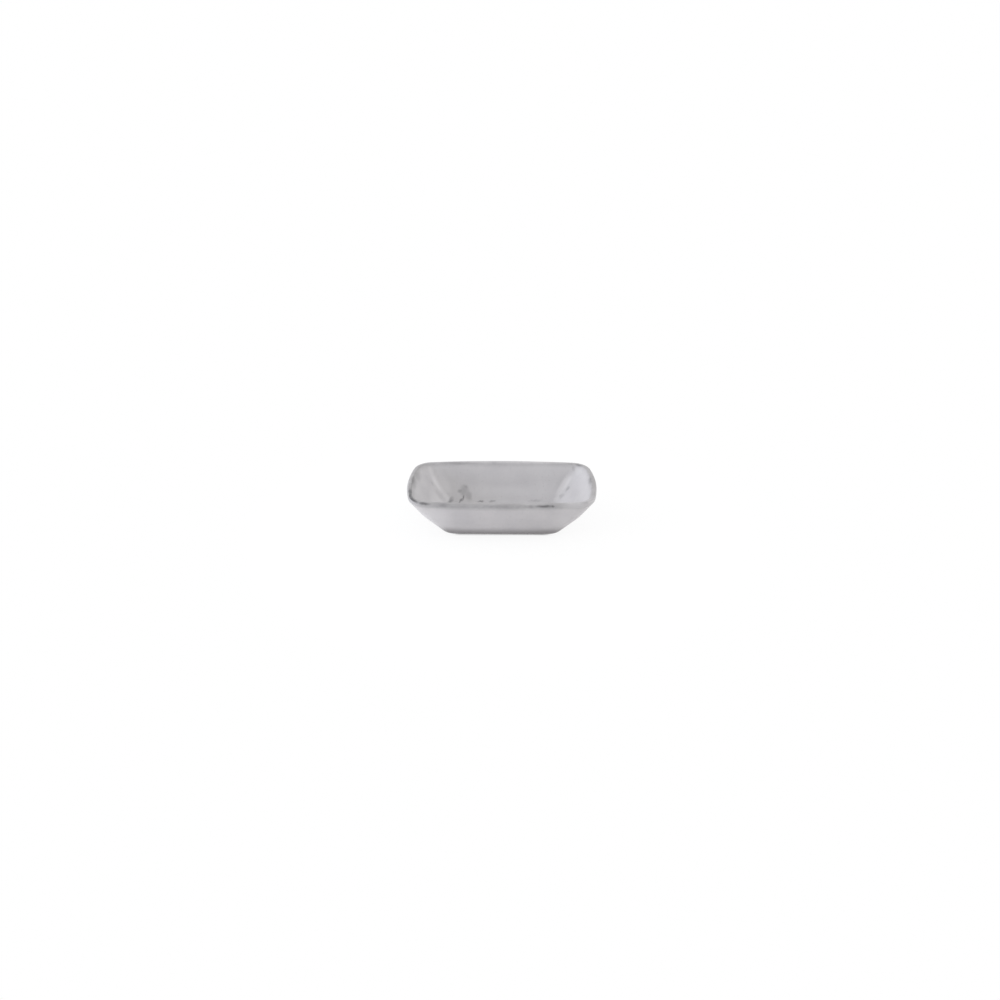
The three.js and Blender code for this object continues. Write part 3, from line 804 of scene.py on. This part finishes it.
def lip_glaze():
    """Reactive glaze, broken over the lip: mid grey, with dark ragged lines along it."""
    material, tree, shader, place = new_material("reactive glaze, broken over the lip")
    station = add_node(tree, "ShaderNodeAttribute", attribute_name="station").outputs["Fac"]
    thick = thick_below_lip(tree, place)
    for other in (thick_inside_lip(tree, station), marks_share(tree, place, LIP_POOLS)):
        thick = add_node(tree, "ShaderNodeMath", {0: thick, 1: other}, operation="MAXIMUM")
    colour = specked(
        tree, place, toned(tree, thick, mottled(tree, place, THIN_TONES), mottled(tree, place, PALE_TONES)))

    # The line crosses the lip from its outer edge at the front to its inner edge at the rear, and wanders
    across = add_node(tree, "ShaderNodeSeparateXYZ", {0: place})
    crossed = add_node(tree, "ShaderNodeMapRange",
                       {"Value": across.outputs["Y"], "From Min": LINE_CROSSING_START,
                        "From Max": LINE_CROSSING_END})
    bent = add_node(tree, "ShaderNodeMath", {0: crossed, 1: LINE_CROSSING_BEND}, operation="POWER")
    middle = add_node(tree, "ShaderNodeMapRange",
                      {"Value": bent, "To Min": FRONT_LINE_STATION, "To Max": REAR_LINE_STATION})
    wander = add_node(tree, "ShaderNodeTexNoise",
                      {"Vector": place, "Scale": 1 / LINE_GRAIN, "Detail": RAGGED_DETAIL})
    strayed = add_node(tree, "ShaderNodeMath", {0: wander, 1: 2 * LINE_WANDER, 2: middle},
                       operation="MULTIPLY_ADD")
    off_line = add_node(tree, "ShaderNodeMath", {0: station, 1: strayed}, operation="SUBTRACT")
    centred = add_node(tree, "ShaderNodeMath", {0: off_line, 1: LINE_WANDER}, operation="ADD")
    apart = add_node(tree, "ShaderNodeMath", {0: centred}, operation="ABSOLUTE")
    line = add_node(tree, "ShaderNodeMapRange",
                    {"Value": apart, "From Min": LINE_REACH, "From Max": LINE_CORE},
                    interpolation_type="SMOOTHSTEP")

    # It shows only along the marked lengths and in chance patches
    marks = marks_share(tree, ragged(tree, place, LIP_MARK_GRAIN, LIP_MARK_RAGGED), LIP_MARKS)
    patches = add_node(tree, "ShaderNodeTexNoise",
                       {"Vector": place, "Scale": 1 / PATCH_SIZE, "Detail": FINE_DETAIL})
    broken = add_node(tree, "ShaderNodeMapRange",
                      {"Value": patches, "From Min": PATCH_LOW, "From Max": PATCH_HIGH,
                       "To Max": PATCH_SHARE})
    strength = add_node(tree, "ShaderNodeMath", {0: marks, 1: broken}, operation="MAXIMUM")
    # How strongly the dark line's tone shows here
    bare = add_node(tree, "ShaderNodeMath", {0: line, 1: strength}, operation="MULTIPLY")
    smoke = marks_share(tree, ragged(tree, place, SMOKE_GRAIN, SMOKE_RAGGED), SMOKE_AND_SHADE_MARKS)
    colour = toned(tree, smoke, colour, SMOKE_AND_SHADE_TONE)
    tree.links.new(toned(tree, bare, colour, LIP_LINE_TONE), shader.inputs["Base Color"])
    fired_surface(tree, shader, place, OUTSIDE_ROUGHNESS)
    return material


def outside_glaze():
    """Pale glaze, dipped: plainer than the inside, greyer where it thins at the lip, paler round the front
    corners with painted light, and darker towards the base with painted shade.
    """
    material, tree, shader, place = new_material("pale glaze, dipped")
    thick = thick_below_lip(tree, place)
    colour = toned(tree, thick, mottled(tree, place, THIN_TONES), mottled(tree, place, OUTSIDE_TONES))
    # Painted light: paler round the two front corners
    colour = toned(tree, marks_share(tree, place, OUTSIDE_PAINTED_LIGHT), colour, POOL_AND_PAINTED_LIGHT_TONE)
    colour = specked(tree, place, colour)
    # Painted shade: the outside turns a darker grey towards the edge of the base, where shade falls near the
    # floor
    level = add_node(tree, "ShaderNodeSeparateXYZ", {0: ragged(tree, place, FADE_GRAIN, FADE_RAGGED)})
    thin = add_node(tree, "ShaderNodeMapRange",
                    {"Value": level.outputs["Z"], "From Min": BASE_SHADE_START, "From Max": BASE_SHADE_END,
                     "To Max": BASE_SHADE_SHARE}, interpolation_type="SMOOTHSTEP")
    tree.links.new(toned(tree, thin, colour, PAINTED_BASE_SHADE_TONE), shader.inputs["Base Color"])
    fired_surface(tree, shader, place, OUTSIDE_ROUGHNESS)
    return material


def underside_glaze():
    """Pale glaze, poured into the recess: the outside's clouds and gloss, with no bare edge."""
    material, tree, shader, place = new_material("pale glaze, poured")
    tree.links.new(specked(tree, place, mottled(tree, place, OUTSIDE_TONES)), shader.inputs["Base Color"])
    fired_surface(tree, shader, place, OUTSIDE_ROUGHNESS)
    return material


def bare_clay():
    """Fired stoneware, bare: a matte dark grey with sand in it, ground flat where the dish stands."""
    material, tree, shader, place = new_material("fired stoneware, bare")
    sand = add_node(tree, "ShaderNodeTexVoronoi", {"Vector": place, "Scale": 1 / SAND_SPACING})
    fleck = add_node(tree, "ShaderNodeMapRange",
                     {"Value": sand, "From Min": SAND_EDGE, "From Max": SAND_CORE, "To Max": SAND_SHARE})
    colour = toned(tree, fleck, mottled(tree, place, CLAY_TONES), SAND_TONE)
    tree.links.new(colour, shader.inputs["Base Color"])
    relief = add_node(tree, "ShaderNodeBump",
                      {"Strength": SAND_STRENGTH, "Distance": SAND_RELIEF, "Height": sand})
    tree.links.new(relief.outputs[0], shader.inputs["Normal"])
    shader.inputs["Roughness"].default_value = CLAY_ROUGHNESS
    return material


# Camera, light and floor

def place_camera():
    """The camera stands where the photograph was taken from and looks at the dish."""
    data = bpy.data.cameras.new("photograph")
    data.lens = CAMERA_LENS_MM
    camera = bpy.data.objects.new("photograph", data)
    bpy.context.scene.collection.objects.link(camera)
    level = cos(CAMERA_ELEVATION)
    back = Vector((sin(CAMERA_TURN) * level, -cos(CAMERA_TURN) * level, sin(CAMERA_ELEVATION)))
    camera.location = CAMERA_AIM + back * CAMERA_DISTANCE
    camera.rotation_euler = back.to_track_quat("Z", "Y").to_euler()
    bpy.context.scene.camera = camera


def add_soft_box(name, place, size, watts, colour):
    """A soft box of a given width and height at a place, turned to the dish.

    It is two lamps in one place. Only the weaker one is mirrored in the glaze, so the lip keeps its grey.
    """
    turn = (Vector(place) - Vector((0, 0, HEIGHT / 2))).to_track_quat("Z", "Y").to_euler()
    for part, share in (("mirrored", MIRRORED_SHARE), ("not mirrored", 1 - MIRRORED_SHARE)):
        data = bpy.data.lights.new(f"{name}, {part}", "AREA")
        data.shape = "RECTANGLE"
        data.size, data.size_y = size
        data.energy = watts * share
        data.color = linear(colour)[:3]
        lamp = bpy.data.objects.new(data.name, data)
        lamp.location = place
        lamp.rotation_euler = turn
        lamp.visible_glossy = part == "mirrored"
        bpy.context.scene.collection.objects.link(lamp)


def shown_ray(tree):
    """1 for a ray that shows the background: one from the camera, or one that a gloss or a glass sends on."""
    rays = add_node(tree, "ShaderNodeLightPath")
    shown = rays.outputs["Is Camera Ray"]
    for kind in ("Is Glossy Ray", "Is Transmission Ray"):
        shown = add_node(tree, "ShaderNodeMath", {0: shown, 1: rays.outputs[kind]}, operation="MAXIMUM")
    return shown


def light_studio():
    """A white light tent with a soft box on either side."""
    scene = bpy.context.scene
    scene.view_settings.view_transform = "Standard"
    world = bpy.data.worlds.new("light tent")
    scene.world = world
    world.use_nodes = True
    tree = world.node_tree
    strength = add_node(tree, "ShaderNodeMapRange",
                        {"Value": shown_ray(tree), "To Min": TENT_LEVEL, "To Max": 1.0})
    background = tree.nodes["Background"]
    background.inputs["Color"].default_value = linear(WHITE)
    tree.links.new(strength.outputs[0], background.inputs["Strength"])
    add_soft_box("left soft box", LEFT_BOX_PLACE, LEFT_BOX_SIZE, LEFT_BOX_WATTS, LEFT_BOX_COLOUR)
    add_soft_box("right soft box", RIGHT_BOX_PLACE, RIGHT_BOX_SIZE, RIGHT_BOX_WATTS, RIGHT_BOX_COLOUR)


def lay_floor():
    """A white paper floor that fades into the background and keeps the dish's shadow."""
    mesh = bpy.data.meshes.new("floor")
    half = FLOOR_SIZE / 2
    corners = [(-half, -half, 0), (half, -half, 0), (half, half, 0), (-half, half, 0)]
    mesh.from_pydata(corners, [], [(0, 1, 2, 3)])
    ground = bpy.data.objects.new("floor", mesh)
    bpy.context.scene.collection.objects.link(ground)
    material, tree, shader, place = new_material("white paper sweep")
    tree.nodes.remove(shader)
    paper = add_node(tree, "ShaderNodeBsdfDiffuse", {"Color": linear(FLOOR_COLOUR)})
    white = add_node(tree, "ShaderNodeEmission", {"Color": linear(WHITE), "Strength": 1.0})

    # The white glow is weaker near the dish, and gone inside the outline of its foot
    far = add_node(tree, "ShaderNodeVectorMath", {0: place}, operation="LENGTH")
    open_glow = add_node(tree, "ShaderNodeMapRange",
                         {"Value": far, "From Min": SHADOW_REACH, "From Max": 2 * SHADOW_REACH,
                          "To Min": FLOOR_GLOW})
    foot_corner = (foot.length / 2 - foot.corner, foot.width / 2 - foot.corner, 0)
    first_quarter = add_node(tree, "ShaderNodeVectorMath", {0: place}, operation="ABSOLUTE")
    past = add_node(tree, "ShaderNodeVectorMath", {0: first_quarter, 1: foot_corner}, operation="SUBTRACT")
    beyond = add_node(tree, "ShaderNodeVectorMath", {0: past, 1: (0, 0, 0)}, operation="MAXIMUM")
    reach = add_node(tree, "ShaderNodeVectorMath", {0: beyond}, operation="LENGTH")
    from_foot = add_node(tree, "ShaderNodeMath", {0: reach, 1: foot.corner}, operation="SUBTRACT")
    clear = add_node(tree, "ShaderNodeMapRange",
                     {"Value": from_foot, "From Min": CONTACT_SHADOW_START, "From Max": CONTACT_SHADOW_END})
    glow = add_node(tree, "ShaderNodeMath", {0: open_glow, 1: clear}, operation="MULTIPLY")
    share = add_node(tree, "ShaderNodeMath", {0: shown_ray(tree), 1: glow}, operation="MULTIPLY")
    blend = add_node(tree, "ShaderNodeMixShader", {0: share, 1: paper, 2: white})
    tree.links.new(blend.outputs[0], tree.nodes["Material Output"].inputs["Surface"])
    mesh.materials.append(material)


place_camera()
light_studio()
lay_floor()
tree = dish_tree()
make_piece("clay_body", "stoneware_body", tree, bare_clay(), 0, LAST_STATION, clay=True)
make_piece("inside_coat", "inside_glaze", tree, inside_glaze(), BAND_END, LAST_STATION)
make_piece("rim_coat", "rim_glaze", tree, lip_glaze(), BAND_START, BAND_END)
make_piece("outside_coat", "outside_glaze", tree, outside_glaze(), OUTSIDE_START, BAND_START)
make_piece("underside_coat", "underside_glaze", tree, underside_glaze(), 0, UNDERSIDE_END)
